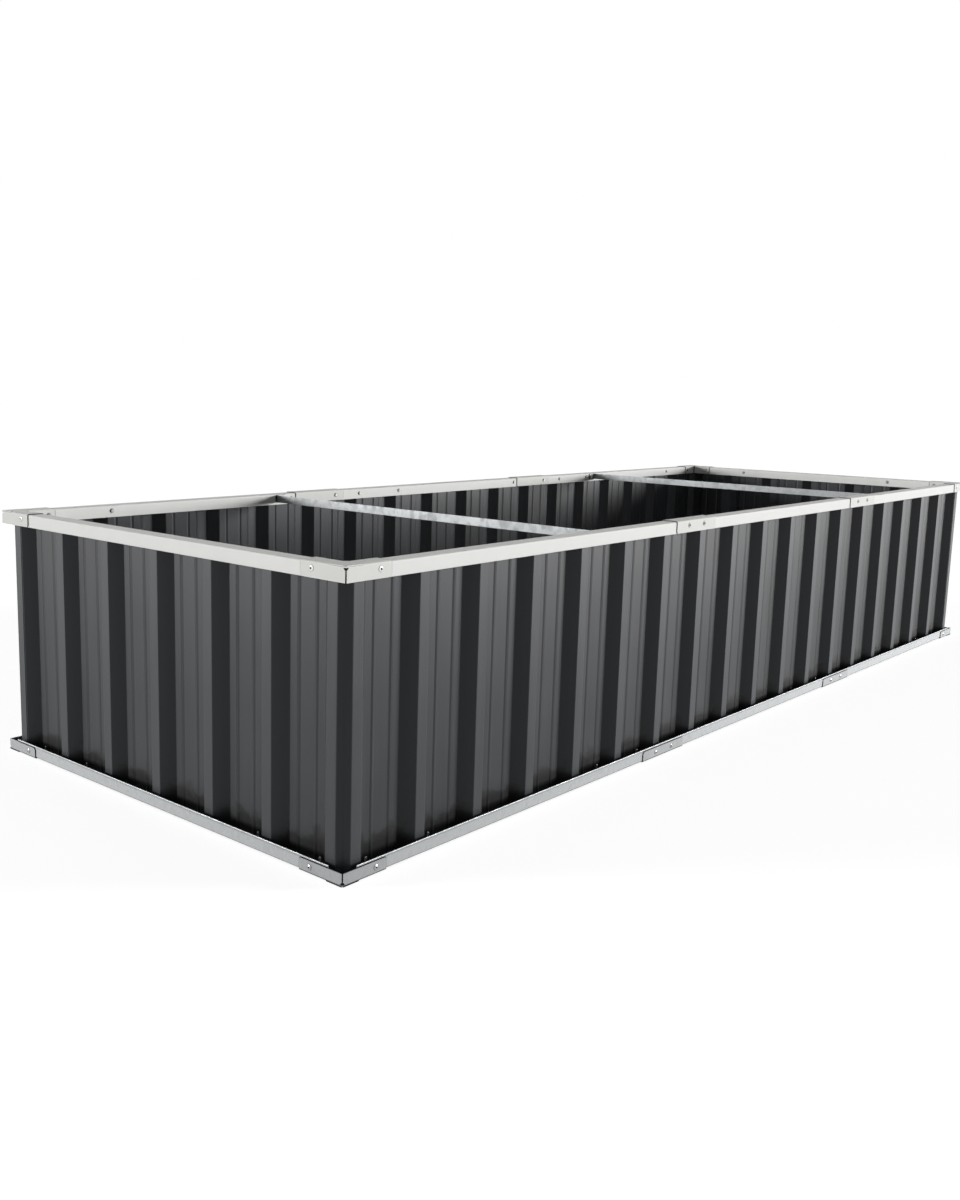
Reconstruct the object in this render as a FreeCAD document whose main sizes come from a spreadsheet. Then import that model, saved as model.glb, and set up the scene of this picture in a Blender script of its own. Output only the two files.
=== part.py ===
import FreeCAD, Part
import math
import os
import re
import Sketcher

# A raised garden bed: corrugated steel panels that stand in U-shaped rails.
#
# Millimetres, +Z up. The origin lies on the ground at the middle of the bed, and the long walls run
# along X. Each wall has a frame of its own, used by its panels, rails and splices: x runs along the
# wall from its left corner, as seen from outside, y runs inwards from the outermost face, and z is
# the height above the ground. The back and left walls are the front and right walls turned half a
# turn about Z. Each corner has the same kind of frame, with one leg along x and the other along y.

SIZES = {
    # the bed
    "bed_height": 457.0,
    "long_wall_panels": 3,
    "ribs_per_panel": 6,
    # the corrugated sheet
    "rib_pitch": 138.5,
    "rib_depth": 18.6,
    "crest_width": 21.0,
    "flank_angle": 41.5,
    "sheet_gauge": 0.7,
    "sheet_bend": 2.2,
    "bead_inset": 19.0,
    "bead_width": 8.0,
    "bead_angle": 13.0,
    "bead_bend": 1.2,
    "crest_trim": 1.5,
    "lap_trim": 0.5,
    # the corner posts
    "crest_offset": 26.0,
    "post_gauge": 0.8,
    "post_bend": 2.5,
    "post_trim": 1.5,
    # the rails
    "rail_width": 30.0,
    "rail_flange": 23.0,
    "rail_gauge": 0.8,
    "rail_bend": 1.6,
    "hem_bend": 0.1,
    "hem_length": 1.6,
    "rail_setback": 30.0,
    "seam_gap": 1.0,
    "top_seam_shift": 80.0,
    # the corner brackets and splices, which wrap the rails
    "joint_gauge": 1.5,
    "bottom_joint_flange": 20.0,
    "top_joint_flange": 24.0,
    "joint_bend": 1.5,
    "joint_round": 5.0,
    "bracket_leg": 90.0,
    "bracket_throat": 2.0,
    "corner_slit": 1.6,
    "corner_relief": 5.5,
    "corner_relief_height": 4.5,
    "splice_length": 150.0,
    # screws, nuts and rivets
    "screw_size": 5.0,
    "screw_length": 7.0,
    "screw_head": 8.5,
    "screw_head_rise": 1.8,
    "screw_recess": 4.0,
    "screw_recess_depth": 1.3,
    "screw_level": 10.5,
    "bracket_screw_at": 68.0,
    "splice_screw_gap": 58.0,
    "nut_width": 8.0,
    "nut_height": 3.5,
    "rivet_size": 4.0,
    "rivet_head": 7.0,
    "rivet_head_rise": 1.2,
    "rivet_tail": 6.0,
    "rivet_tail_length": 2.5,
    "rivet_inset": 9.0,
    "rivet_level": 12.0,
    "hole_clearance": 0.2,
    # the cross ties between the long walls
    "tie_bay": 4,
    "tie_gauge": 1.5,
    "tie_bend": 2.0,
    "tie_depth": 16.0,
    "tie_offset": 16.0,
    "tie_tab": 27.0,
}

doc = FreeCAD.newDocument("RaisedGardenBed")
sheet = doc.addObject("Spreadsheet::Sheet", "Sizes")
for row, (alias, number) in enumerate(SIZES.items(), start=1):
    sheet.set(f"A{row}", alias.replace("_", " "))
    sheet.set(f"B{row}", str(number))
    sheet.setAlias(f"B{row}", alias)
doc.recompute()

UP = FreeCAD.Vector(0, 0, 1)
ALIASES = re.compile(r"\b(" + "|".join(SIZES) + r")\b")
subparts = []


def bound(formula):
    """The formula as an expression that reads the sheet."""
    return ALIASES.sub(r"Sizes.\1", formula)


def size(formula):
    """What the formula comes to now."""
    found = sheet.evalExpression(bound(formula))
    return float(getattr(found, "Value", found))


# ---------------------------------------------------------------------------------------------
# Formulas that several pieces share
# ---------------------------------------------------------------------------------------------

PANEL_RUN = "(ribs_per_panel * rib_pitch)"
WALL_ENDS = "(2 * crest_offset + crest_width)"
BED_LENGTH = f"({WALL_ENDS} + long_wall_panels * {PANEL_RUN})"
BED_WIDTH = f"({WALL_ENDS} + {PANEL_RUN})"

FLANK_RUN = "(rib_depth / tan(flank_angle * 1deg))"
VALLEY_IN = "(joint_gauge + rail_width - rail_gauge)"
VALLEY_OUT = f"({VALLEY_IN} - sheet_gauge)"
ABOVE_VALLEY = f"({VALLEY_OUT} - sheet_gauge)"
CREST_IN = f"({VALLEY_IN} - rib_depth)"
CREST_OUT = f"({VALLEY_OUT} - rib_depth)"
FIRST_CREST = "(crest_offset + crest_width / 2)"

RAIL_SEAT = "(joint_gauge + rail_gauge)"
PANEL_HEIGHT = f"(bed_height - 2 * {RAIL_SEAT})"
JOINT_WIDTH = "(rail_width + 2 * joint_gauge)"
JOINT_INSIDE = f"({JOINT_WIDTH} - joint_gauge - joint_bend)"
RAIL_INSIDE = f"({VALLEY_IN} - rail_bend)"
THROAT = f"({JOINT_WIDTH} + bracket_throat)"
FIRST_SEAM = f"(crest_offset + crest_width + {PANEL_RUN})"
TIE_VALLEY = f"({FIRST_CREST} + (tie_bay + 0.5) * rib_pitch)"
TIE_LEVEL = "(bed_height - screw_level - rail_gauge)"

# corner of the bed, direction of the wall and turn about Z of each wall's frame
WALLS = {
    "front": (-1, -1, (1, 0), 0),
    "right": (1, -1, (0, 1), 90),
    "back": (1, 1, (-1, 0), 180),
    "left": (-1, 1, (0, -1), 270),
}
LONG_WALLS = ("front", "back")
# the corner at the start of each wall
CORNERS = {"front": "front_left", "right": "front_right", "back": "back_right", "left": "back_left"}


def wall_length(wall):
    return BED_LENGTH if wall in LONG_WALLS else BED_WIDTH


def level_of(height, top):
    """A height measured from the ground, or the same height measured down from the top."""
    return f"(bed_height - ({height}))" if top else f"({height})"


def seams(wall, top):
    """Where the rails of a wall meet, along the wall."""
    if wall not in LONG_WALLS:
        return []
    shift = " + top_seam_shift" if top else ""
    count = int(size("long_wall_panels")) - 1
    return [f"({FIRST_SEAM} + {place} * {PANEL_RUN}{shift})" for place in range(count)]


def rivet_stations(wall):
    """Where rivets hold the valleys of a wall's panels, along the wall."""
    left = f"{FIRST_CREST} + crest_width / 2 + {FLANK_RUN} + rivet_inset"
    right = f"{FIRST_CREST} + {PANEL_RUN} - crest_width / 2 - {FLANK_RUN} - rivet_inset"
    count = int(size("long_wall_panels")) if wall in LONG_WALLS else 1
    found = []
    for place in range(count):
        start = f"{place} * {PANEL_RUN}"
        found += [f"({start} + {left})", f"({start} + {left} + rib_pitch)"]
        found += [f"({start} + {right} - rib_pitch)", f"({start} + {right})"]
    return found


def tie_stations(wall):
    """Where the cross ties are screwed to a wall, along the wall."""
    if wall not in LONG_WALLS:
        return []
    return [TIE_VALLEY, f"({BED_LENGTH} - {TIE_VALLEY})"]


def in_joint(wall, top, station):
    """True where a bracket or a splice wraps the rail at the station."""
    place = size(station)
    length = size(wall_length(wall))
    from_end = min(place, length - place)
    if size(THROAT) < from_end < size("bracket_leg"):
        return True
    return any(abs(place - size(seam)) < size("splice_length / 2") for seam in seams(wall, top))


def between(stations, start, end):
    return [station for station in stations if size(start) < size(station) < size(end)]


def side_names(count):
    """Names of the pieces along a wall, from its left to its right as seen from outside."""
    middle = ["middle"] if count == 3 else [f"middle_{place}" for place in range(1, count - 1)]
    return ["left"] + middle + ["right"] if count > 1 else ["whole"]


# ---------------------------------------------------------------------------------------------
# Bodies, sketches and features
# ---------------------------------------------------------------------------------------------


def new_body(name):
    body = doc.addObject("PartDesign::Body", name)
    body.Label = name
    subparts.append(body)
    return body


def clone_body(name, master):
    """A body with the same shape as another one, in a place of its own."""
    body = new_body(name)
    clone = body.newObject("PartDesign::FeatureBase", "Clone")
    clone.BaseFeature = master
    body.Tip = clone
    return body


def place_in_wall(body, wall, along="0", turn=None, height="0"):
    """Puts a body that is drawn in a wall's frame where that wall stands."""
    corner_x, corner_y, (step_x, step_y), angle = WALLS[wall]
    rotation = FreeCAD.Rotation(UP, angle)
    if turn:
        rotation = rotation.multiply(turn)
    body.Placement = FreeCAD.Placement(FreeCAD.Vector(0, 0, 0), rotation)
    x_place = f"{corner_x} * {BED_LENGTH} / 2 + {step_x} * ({along})"
    y_place = f"{corner_y} * {BED_WIDTH} / 2 + {step_y} * ({along})"
    body.setExpression("Placement.Base.x", bound(x_place))
    body.setExpression("Placement.Base.y", bound(y_place))
    body.setExpression("Placement.Base.z", bound(height))


def origin_part(body, role):
    return next(part for part in body.Origin.OriginFeatures if part.Role == role)


def new_sketch(body, name, plane, offsets=("0", "0", "0"), rotation=None):
    """A sketch on one of the body's planes, moved by offsets in the plane's own axes."""
    sketch = body.newObject("Sketcher::SketchObject", name)
    sketch.AttachmentSupport = [(origin_part(body, plane), "")]
    sketch.MapMode = "FlatFace"
    if rotation:
        sketch.AttachmentOffset = FreeCAD.Placement(FreeCAD.Vector(0, 0, 0), rotation)
    for axis, offset in zip("xyz", offsets):
        if offset != "0":
            sketch.setExpression(f"AttachmentOffset.Base.{axis}", bound(offset))
    return sketch


class Drawing:
    """Collects a sketch's lines and rules, so that the sketch is solved only once."""

    def __init__(self, sketch):
        self.sketch = sketch
        self.shapes = []
        self.rules = []
        self.formulas = []

    def add(self, shape):
        self.shapes.append(shape)
        return len(self.shapes) - 1

    def rule(self, kind, *where):
        self.rules.append(Sketcher.Constraint(kind, *where))

    def fix(self, kind, where, formula):
        """A dimension that is bound to the sheet."""
        self.formulas.append((len(self.rules), formula))
        self.rules.append(Sketcher.Constraint(kind, *where, size(formula)))

    def fix_point(self, shape, vertex, x_place, y_place):
        self.fix("DistanceX", (-1, 1, shape, vertex), x_place)
        self.fix("DistanceY", (-1, 1, shape, vertex), y_place)

    def finish(self):
        self.sketch.addGeometry(self.shapes, False)
        self.sketch.addConstraint(self.rules)
        for index, formula in self.formulas:
            self.sketch.setExpression(f"Constraints[{index}]", bound(formula))


def point_at(x_place, y_place):
    return FreeCAD.Vector(size(x_place), size(y_place), 0)


def add_polygon(drawing, corners):
    """A closed outline of straight lines through the corners."""
    points = [point_at(*corner) for corner in corners]
    lines = [
        drawing.add(Part.LineSegment(point, following))
        for point, following in zip(points, points[1:] + points[:1])
    ]
    for corner, line, following in zip(corners, lines, lines[1:] + lines[:1]):
        drawing.rule("Coincident", line, 2, following, 1)
        drawing.fix_point(line, 1, *corner)


def add_circles(drawing, centres, diameter):
    for centre in centres:
        circle = drawing.add(Part.Circle(point_at(*centre), UP, size(diameter) / 2))
        drawing.fix_point(circle, 3, *centre)
        drawing.fix("Radius", (circle,), f"({diameter}) / 2")


def draw_polygon(sketch, corners, hole=None):
    drawing = Drawing(sketch)
    add_polygon(drawing, corners)
    if hole:
        add_circles(drawing, [("0", "0")], hole)
    drawing.finish()


def draw_circles(sketch, centres, diameter):
    drawing = Drawing(sketch)
    add_circles(drawing, centres, diameter)
    drawing.finish()


def draw_strip(sketch, gauge, start, bends, end):
    """The outline of a bent strip of sheet, seen along its edge.

    start and end are the coordinate of a cut end and the heading there, a whole number of quarter
    turns. bends are (centre x, centre y, inner radius, turn), with turn 1 to the left, -1 to the
    right. Both faces run along the same bends, tangent to them, one gauge apart.
    """
    drawing = Drawing(sketch)
    centres = [point_at(bend[0], bend[1]) for bend in bends]
    faces = []
    for side in (1, -1):
        radii = [bend[2] if bend[3] == side else f"{bend[2]} + {gauge}" for bend in bends]
        signed = [bend[3] * size(radius) for bend, radius in zip(bends, radii)]
        lines, arcs = add_face(drawing, centres, signed, start, end)
        for place, arc in enumerate(arcs):
            if faces:
                drawing.rule("Coincident", arc, 3, faces[0][1][place], 3)
            else:
                drawing.fix_point(arc, 3, bends[place][0], bends[place][1])
            drawing.fix("Radius", (arc,), radii[place])
        for line, (_, heading) in ((lines[0], start), (lines[-1], end)):
            drawing.rule("Vertical" if heading % 2 else "Horizontal", line)
        faces.append((lines, arcs))
    for vertex, which, (formula, heading) in ((1, 0, start), (2, -1, end)):
        first, second = (lines[which] for lines, _ in faces)
        corners = [end_of(drawing.shapes[line], vertex) for line in (first, second)]
        cap = drawing.add(Part.LineSegment(*corners))
        drawing.rule("Coincident", cap, 1, first, vertex)
        drawing.rule("Coincident", cap, 2, second, vertex)
        drawing.rule("Horizontal" if heading % 2 else "Vertical", cap)
        drawing.fix("DistanceY" if heading % 2 else "DistanceX", (-1, 1, cap, 1), formula)
    drawing.finish()


def end_of(line, vertex):
    return line.StartPoint if vertex == 1 else line.EndPoint


def add_face(drawing, centres, signed, start, end):
    """One face of a bent strip: lines and arcs with tangent joints. Right turns have radii below 0."""
    headings = [math.radians(90 * start[1])]
    for place, (centre, following) in enumerate(zip(centres, centres[1:])):
        step = following - centre
        lean = math.asin((signed[place + 1] - signed[place]) / step.Length)
        headings.append(math.atan2(step.y, step.x) - lean)
    headings.append(math.radians(90 * end[1]))

    def touch(place, heading):
        normal = FreeCAD.Vector(-math.sin(heading), math.cos(heading), 0)
        return centres[place] - normal * signed[place]

    def cut_end(point, heading, coordinate):
        if abs(math.cos(heading)) > 0.5:
            return FreeCAD.Vector(coordinate, point.y, 0)
        return FreeCAD.Vector(point.x, coordinate, 0)

    last = len(centres) - 1
    points = [cut_end(touch(0, headings[0]), headings[0], size(start[0]))]
    for place in range(len(centres)):
        points.append(touch(place, headings[place]))
        points.append(touch(place, headings[place + 1]))
    points.append(cut_end(touch(last, headings[-1]), headings[-1], size(end[0])))
    lines = [
        drawing.add(Part.LineSegment(*points[place : place + 2])) for place in range(0, len(points), 2)
    ]
    arcs = []
    for place, centre in enumerate(centres):
        quarter = math.copysign(math.pi / 2, signed[place])
        angles = [headings[place] - quarter, headings[place + 1] - quarter]
        entry, leave = (1, 2) if signed[place] > 0 else (2, 1)
        circle = Part.Circle(centre, UP, abs(signed[place]))
        arc = drawing.add(Part.ArcOfCircle(circle, *angles[:: leave - entry]))
        drawing.rule("Tangent", lines[place], 2, arc, entry)
        drawing.rule("Tangent", arc, leave, lines[place + 1], 1)
        arcs.append(arc)
    return lines, arcs


def pad(body, sketch, length, name, backwards=False):
    feature = body.newObject("PartDesign::Pad", name)
    feature.Profile = sketch
    feature.Reversed = backwards
    feature.Length = size(length)
    feature.setExpression("Length", bound(length))
    body.Tip = feature
    return feature


def pocket(body, sketch, depth, name, backwards=False):
    feature = body.newObject("PartDesign::Pocket", name)
    feature.Profile = sketch
    feature.Reversed = backwards
    feature.Length = size(depth)
    feature.setExpression("Length", bound(depth))
    body.Tip = feature
    return feature


def revolve(body, sketch, name):
    feature = body.newObject("PartDesign::Revolution", name)
    feature.Profile = sketch
    feature.ReferenceAxis = (sketch, ["V_Axis"])
    feature.Angle = 360
    body.Tip = feature
    return feature


def drill_outer(body, centres, diameter, depth, name, start="0"):
    """Round holes inwards, along the wall's y axis, from a depth of start."""
    if not centres:
        return
    sketch = new_sketch(body, f"{name}Sketch", "XZ_Plane", ("0", "0", f"-({start})"))
    draw_circles(sketch, centres, f"{diameter} + hole_clearance")
    pocket(body, sketch, depth, name)


def drill_side(body, centres, diameter, depth, name, start="0"):
    """Round holes along x, through the leg of a bracket that runs along y."""
    if not centres:
        return
    sketch = new_sketch(body, f"{name}Sketch", "YZ_Plane", ("0", "0", start))
    draw_circles(sketch, centres, f"{diameter} + hole_clearance")
    pocket(body, sketch, depth, name, backwards=True)


def new_pattern(body, kind, name, features):
    """A pattern of some of the body's features, added to all that the body has so far."""
    before = body.Tip
    pattern = body.newObject(kind, name)
    pattern.BaseFeature = before
    pattern.Originals = features
    pattern.Refine = False
    return pattern


def round_corners(body, corners):
    """Rounds the free corners of sheet flanges, found by the middle of each short edge."""
    body.recompute(True)
    solid = body.Tip
    edges = []
    for corner in corners:
        point = FreeCAD.Vector(*(size(coordinate) for coordinate in corner))
        places = [(edge.CenterOfMass - point).Length for edge in solid.Shape.Edges]
        edges.append(f"Edge{places.index(min(places)) + 1}")
    fillet = body.newObject("PartDesign::Fillet", "FreeCorners")
    fillet.Base = (solid, edges)
    fillet.Radius = size("joint_round")
    fillet.setExpression("Radius", bound("joint_round"))
    body.Tip = fillet


# ---------------------------------------------------------------------------------------------
# Corrugated panels
# ---------------------------------------------------------------------------------------------

BEND_REACH = "((sheet_bend + sheet_gauge / 2) * tan(flank_angle * 0.5deg))"
BEAD_REACH = "((bead_bend + sheet_gauge / 2) * tan(bead_angle * 0.5deg))"


def half_rib_bends(under_lap=False):
    """The bends from the middle of a valley, at 0, to the middle of the next crest."""
    foot_end = f"(rib_pitch / 2 - crest_width / 2 - {FLANK_RUN})"
    bead = f"({foot_end} - bead_inset)"
    bead_foot = f"({VALLEY_OUT} - bead_bend)"
    bead_top = f"({VALLEY_IN} - sheet_gauge / 2 - bead_width / 2 * tan(bead_angle * 1deg)"
    bead_top += " + (bead_bend + sheet_gauge / 2) / cos(bead_angle * 1deg))"
    crest_bend = f"{CREST_IN} + sheet_bend" + (" + sheet_gauge" if under_lap else "")
    return [
        (f"{bead} - bead_width / 2 - {BEAD_REACH}", bead_foot, "bead_bend", -1),
        (bead, bead_top, "bead_bend", 1),
        (f"{bead} + bead_width / 2 + {BEAD_REACH}", bead_foot, "bead_bend", -1),
        (f"{foot_end} - {BEND_REACH}", f"{VALLEY_OUT} - sheet_bend", "sheet_bend", -1),
        (f"rib_pitch / 2 - crest_width / 2 + {BEND_REACH}", crest_bend, "sheet_bend", 1),
    ]


def mirrored_bends(bends):
    """The same bends on the other side of x = 0, in the order of rising x."""
    return [(f"-({x_place})", y_place, inner, turn) for x_place, y_place, inner, turn in reversed(bends)]


def draw_half_rib(body, name, valley, rising, under_lap=False):
    """Half a rib beside the middle of a valley: rising to the crest on its right, or falling to it."""
    sketch = new_sketch(body, f"{name}Sketch", "XY_Plane", (valley, "0", RAIL_SEAT))
    bends = half_rib_bends(under_lap)
    if rising:
        draw_strip(sketch, "sheet_gauge", ("0", 0), bends, ("rib_pitch / 2", 0))
    else:
        draw_strip(sketch, "sheet_gauge", ("-rib_pitch / 2", 0), mirrored_bends(bends), ("0", 0))
    return pad(body, sketch, PANEL_HEIGHT, name)


def repeat_rib(body, feature, copies, name):
    pattern = new_pattern(body, "PartDesign::LinearPattern", name, [feature])
    pattern.Direction = (origin_part(body, "X_Axis"), [""])
    pattern.Mode = "Spacing"
    pattern.setExpression("Offset", bound("rib_pitch"))
    pattern.setExpression("Occurrences", bound(copies))
    body.Tip = pattern


def draw_crest_end(body, name, start, end, under_lap=False):
    """A half crest that closes the panel at one end."""
    sketch = new_sketch(body, f"{name}Sketch", "XY_Plane", ("0", "0", RAIL_SEAT))
    outer = f"{CREST_OUT} + sheet_gauge" if under_lap else CREST_OUT
    inner = f"{CREST_IN} + sheet_gauge" if under_lap else CREST_IN
    draw_polygon(sketch, [(start, outer), (end, outer), (end, inner), (start, inner)])
    pad(body, sketch, PANEL_HEIGHT, name)


def make_panel(name, wall, place, count):
    """One corrugated panel. Its last crest laps over the first crest of the next panel."""
    body = new_body(name)
    under_lap = place > 0
    first_valley = f"({FIRST_CREST} + rib_pitch / 2)"
    crest_start = "crest_offset + crest_trim"
    if under_lap:
        draw_half_rib(body, "LappedHalf", first_valley, rising=False, under_lap=True)
        draw_crest_end(body, "StartCrest", crest_start, FIRST_CREST, under_lap=True)
        falling = draw_half_rib(body, "Falling", f"({first_valley} + rib_pitch)", rising=False)
        rising = draw_half_rib(body, "Rising", first_valley, rising=True)
        repeat_rib(body, falling, "ribs_per_panel - 1", "FallingHalves")
    else:
        draw_crest_end(body, "StartCrest", crest_start, FIRST_CREST)
        falling = draw_half_rib(body, "Falling", first_valley, rising=False)
        rising = draw_half_rib(body, "Rising", first_valley, rising=True)
        repeat_rib(body, falling, "ribs_per_panel", "FallingHalves")
    repeat_rib(body, rising, "ribs_per_panel", "RisingHalves")
    last_crest = f"({FIRST_CREST} + {PANEL_RUN})"
    end_trim = "crest_trim" if place == count - 1 else "lap_trim"
    draw_crest_end(body, "EndCrest", last_crest, f"{last_crest} + crest_width / 2 - {end_trim}")
    start = f"{place} * {PANEL_RUN}"
    own_rivets = rivet_stations("right")
    holes = [(station, "rivet_level") for station in own_rivets]
    holes += [(station, level_of("rivet_level", True)) for station in own_rivets]
    drill_outer(body, holes, "rivet_size", "3 * sheet_gauge", "RivetHoles", ABOVE_VALLEY)
    panel_end = f"{FIRST_CREST} + {PANEL_RUN} + {start}"
    ties = between(tie_stations(wall), f"{start} + {FIRST_CREST}", panel_end)
    holes = [(f"({station} - {start})", TIE_LEVEL) for station in ties]
    drill_outer(body, holes, "screw_size", "3 * sheet_gauge", "TieHoles", ABOVE_VALLEY)
    return body


# ---------------------------------------------------------------------------------------------
# Corner posts
# ---------------------------------------------------------------------------------------------


def make_post(name):
    """The bevelled corner strip, which laps over the end crests of two panels."""
    body = new_body(name)
    reach = "((post_bend + post_gauge / 2) * tan(22.5deg))"
    inside = f"{CREST_OUT} + post_bend"
    far_edge = "crest_offset + crest_width - post_trim"
    sketch = new_sketch(body, "PostSketch", "XY_Plane", ("0", "0", RAIL_SEAT))
    bends = [
        (f"crest_offset + {reach}", inside, "post_bend", -1),
        (inside, f"crest_offset + {reach}", "post_bend", -1),
    ]
    draw_strip(sketch, "post_gauge", (far_edge, 2), bends, (far_edge, 1))
    pad(body, sketch, PANEL_HEIGHT, "Post")
    return body


# ---------------------------------------------------------------------------------------------
# Rails
# ---------------------------------------------------------------------------------------------


def draw_rail_section(sketch, top):
    """A U channel, open to the panel. A top rail has its hem folded inwards, a bottom rail outwards."""
    turn = -1 if top else 1
    open_way = 3 if top else 1
    seat = level_of(f"({RAIL_SEAT} + rail_bend)", top)
    edge = "(joint_gauge + rail_flange)"
    hem_centre = f"({edge} - rail_gauge - hem_bend)"
    hem_end = level_of(f"({hem_centre} - hem_length)", top)
    if top:
        hem = (f"({RAIL_SEAT} + hem_bend)", level_of(hem_centre, top), "hem_bend", turn)
    else:
        hem = ("joint_gauge - hem_bend", level_of(hem_centre, top), "hem_bend", -turn)
    bends = [
        hem,
        (f"{RAIL_SEAT} + rail_bend", seat, "rail_bend", turn),
        (f"{VALLEY_IN} - rail_bend", seat, "rail_bend", turn),
    ]
    start = (hem_end, open_way)
    draw_strip(sketch, "rail_gauge", start, bends, (level_of(edge, top), open_way))


def make_rail(name, wall, top, start, end):
    body = new_body(name)
    sketch = new_sketch(body, "RailSketch", "YZ_Plane", ("0", "0", start))
    draw_rail_section(sketch, top)
    pad(body, sketch, f"{end} - {start}", "Rail")
    screws = ["bracket_screw_at", f"({wall_length(wall)} - bracket_screw_at)"]
    for seam in seams(wall, top):
        screws += [f"({seam} - splice_screw_gap / 2)", f"({seam} + splice_screw_gap / 2)"]
    level = level_of("screw_level", top)
    holes = [(station, level) for station in between(screws, start, end)]
    drill_outer(body, holes, "screw_size", "2 * (joint_gauge + rail_gauge)", "ScrewHoles")
    level = level_of("rivet_level", top)
    holes = [(station, level) for station in between(rivet_stations(wall), start, end)]
    drill_outer(body, holes, "rivet_size", "rail_width", "RivetHoles", RAIL_INSIDE)
    ties = between(tie_stations(wall), start, end) if top else []
    holes = [(station, TIE_LEVEL) for station in ties]
    drill_outer(body, holes, "screw_size", "rail_width", "TieHoles", RAIL_INSIDE)
    return body


def rail_runs(wall, top):
    """The start and end of each rail of a wall, along the wall."""
    meets = seams(wall, top)
    starts = ["rail_setback"] + [f"({seam} + seam_gap / 2)" for seam in meets]
    ends = [f"({seam} - seam_gap / 2)" for seam in meets]
    ends.append(f"({wall_length(wall)} - rail_setback)")
    return list(zip(starts, ends))


# ---------------------------------------------------------------------------------------------
# Splices and corner brackets
# ---------------------------------------------------------------------------------------------


def joint_flange(top):
    return "top_joint_flange" if top else "bottom_joint_flange"


def draw_joint_section(sketch, top, flange, with_inner_flange=True):
    """The section of a splice or a bracket leg: an outer flange, a web and an inner flange."""
    turn = -1 if top else 1
    up, down = (3, 1) if top else (1, 3)
    web = level_of("(joint_gauge + joint_bend)", top)
    edge = level_of(flange, top)
    bends = [("joint_gauge + joint_bend", web, "joint_bend", turn)]
    if with_inner_flange:
        bends.append((JOINT_INSIDE, web, "joint_bend", turn))
        draw_strip(sketch, "joint_gauge", (edge, down), bends, (edge, up))
    else:
        draw_strip(sketch, "joint_gauge", (edge, down), bends, (JOINT_WIDTH, 0))


def make_splice(name, wall, top, seam):
    """The sleeve that wraps the ends of two rails where they meet."""
    body = new_body(name)
    start = f"({seam} - splice_length / 2)"
    end = f"({seam} + splice_length / 2)"
    sketch = new_sketch(body, "SpliceSketch", "YZ_Plane", ("0", "0", start))
    draw_joint_section(sketch, top, joint_flange(top))
    pad(body, sketch, "splice_length", "Splice")
    edge = level_of(joint_flange(top), top)
    flanges = ("joint_gauge / 2", f"({JOINT_WIDTH} - joint_gauge / 2)")
    round_corners(body, [(x_place, y_place, edge) for x_place in (start, end) for y_place in flanges])
    level = level_of("screw_level", top)
    holes = [(f"({seam} - splice_screw_gap / 2)", level), (f"({seam} + splice_screw_gap / 2)", level)]
    drill_outer(body, holes, "screw_size", "2 * joint_gauge", "ScrewHoles")
    level = level_of("rivet_level", top)
    holes = [(station, level) for station in between(rivet_stations(wall), start, end)]
    drill_outer(body, holes, "rivet_size", "rail_width", "RivetHoles", JOINT_INSIDE)
    return body


def draw_bracket_leg(body, name, plane, flange, backwards=False):
    """One leg of a corner bracket: its end wraps the rail, its start leaves the corner open."""
    lengths = (THROAT, f"(bracket_leg - {THROAT})")
    for part, place, length in zip(("Corner", "Sleeve"), ("0", THROAT), lengths):
        offset = f"-({place})" if backwards else place
        sketch = new_sketch(body, f"{name}{part}Sketch", plane, ("0", "0", offset))
        draw_joint_section(sketch, False, flange, with_inner_flange=part == "Sleeve")
        pad(body, sketch, length, f"{name}{part}", backwards=backwards)


def cut_relief(body):
    """The notch beside the web that lets the two flanges fold. It narrows into the slit."""
    solid = body.Tip
    relief = body.newObject("PartDesign::SubtractiveCone", "Relief")
    relief.BaseFeature = solid
    relief.AttachmentSupport = [(origin_part(body, "XY_Plane"), "")]
    relief.MapMode = "FlatFace"
    relief.setExpression("AttachmentOffset.Base.z", bound("joint_gauge + joint_bend"))
    relief.setExpression("Radius1", bound("corner_relief"))
    relief.setExpression("Radius2", bound("corner_slit"))
    relief.setExpression("Height", bound("corner_relief_height"))
    body.Tip = relief


def make_bracket(name, top):
    """The corner bracket, folded from one plate, as one lies at the bottom of the bed."""
    body = new_body(name)
    flange = joint_flange(top)
    draw_bracket_leg(body, "Front", "YZ_Plane", flange)
    draw_bracket_leg(body, "Side", "XZ_Plane", flange, backwards=True)
    sketch = new_sketch(body, "SlitSketch", "XY_Plane", ("0", "0", "joint_gauge + joint_bend"))
    slit = [("-corner_slit", "-corner_slit"), ("corner_slit", "-corner_slit")]
    slit += [("corner_slit", "corner_slit"), ("-corner_slit", "corner_slit")]
    draw_polygon(sketch, slit)
    pocket(body, sketch, f"2 * {flange}", "Slit", backwards=True)
    cut_relief(body)
    depths = ("joint_gauge / 2", f"({JOINT_WIDTH} - joint_gauge / 2)")
    corners = [("bracket_leg", depth, flange) for depth in depths]
    corners += [(depth, "bracket_leg", flange) for depth in depths]
    round_corners(body, corners)
    rivets = between(rivet_stations("right"), THROAT, "bracket_leg")
    rivet_holes = [(station, "rivet_level") for station in rivets]
    screw_holes = [("bracket_screw_at", "screw_level")]
    for drill, leg in ((drill_outer, "Front"), (drill_side, "Side")):
        drill(body, screw_holes, "screw_size", "2 * joint_gauge", f"{leg}Screw")
        drill(body, rivet_holes, "rivet_size", "4 * joint_gauge", f"{leg}Rivet", JOINT_INSIDE)
    return body


# ---------------------------------------------------------------------------------------------
# Cross ties
# ---------------------------------------------------------------------------------------------


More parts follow.
